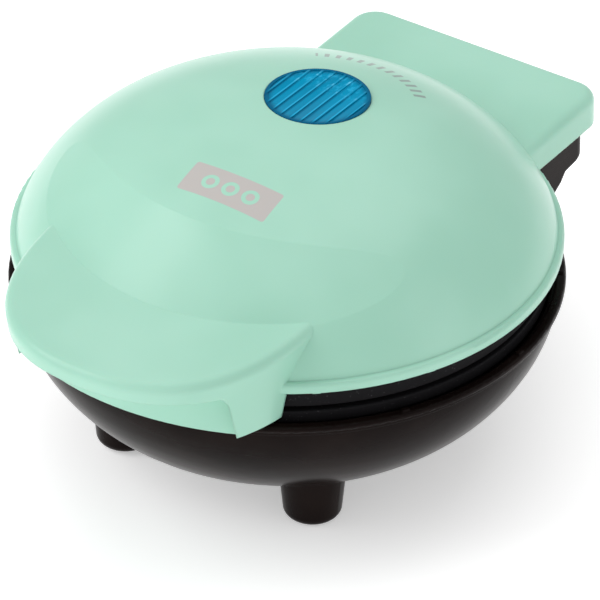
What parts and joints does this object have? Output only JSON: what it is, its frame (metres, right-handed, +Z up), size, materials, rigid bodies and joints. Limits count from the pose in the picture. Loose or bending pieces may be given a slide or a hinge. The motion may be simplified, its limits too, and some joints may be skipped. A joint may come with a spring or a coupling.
{
  "type": "donut maker",
  "caption": "Round two-plate electric donut maker: domed lid with a crescent handle, hinged on a black bowl base with feet.",
  "frame": {"origin": "on the table, under the middle of the overall box, which is the axis of the round lid", "axes": "+Z up, +Y towards the hinge, -Y towards the handle, +X to the right seen from the front"},
  "size_m": [0.17, 0.221, 0.1098],
  "materials": {
    "mint_gloss": "glossy moulded plastic",
    "black_gloss": "glossy moulded plastic",
    "non_stick": "cast aluminium with a sparkling non-stick coat",
    "heater_steel": "dull sheathed steel",
    "shield_metal": "rolled sheet",
    "ceramic": "fired ceramic",
    "screw_steel": "zinc plated",
    "brass": "turned",
    "blue_lens": "clear blue",
    "white_nylon": "moulded",
    "lamp_glass": "clear",
    "black_phenolic": "moulded",
    "glass_braid": "woven",
    "rubber_black": "matt",
    "wire_brown": "silicone",
    "wire_blue": "silicone",
    "wire_green": "silicone"
  },
  "bodies": {
    "base": {"base_shell": "black_gloss", "lower_cooking_plate": "non_stick", "lower_heating_element": "heater_steel", "lower_heat_shield": "shield_metal", "lower_element_beads": "ceramic", "lower_plate_screws": "screw_steel", "thermostat": "black_phenolic", "thermostat_clip": "shield_metal", "thermal_fuse": "screw_steel", "fuse_sleeve": "glass_braid", "terminal_block": "white_nylon", "terminal_screws": "brass", "live_wire": "wire_brown", "neutral_wire": "wire_blue", "earth_wire": "wire_green", "cord_gland": "rubber_black", "foot_pads": "rubber_black", "hinge_rod": "screw_steel", "rod_clips": "screw_steel"},
    "lid": {"lid_shell": "mint_gloss", "indicator_lens": "blue_lens", "lens_retainer": "white_nylon", "lamp_holder": "white_nylon", "indicator_lamp": "lamp_glass", "upper_cooking_plate": "non_stick", "upper_heating_element": "heater_steel", "upper_heat_shield": "shield_metal", "upper_element_beads": "ceramic", "upper_plate_screws": "screw_steel", "hinge_bushes": "brass"}
  },
  "joints": [
    {"name": "lid_hinge", "type": "hinge", "parent": "base", "child": "lid", "pos_m": [0, 0.1025, 0.0715], "axis": [-1, 0, 0], "range_deg": [0, 95]}
  ]
}
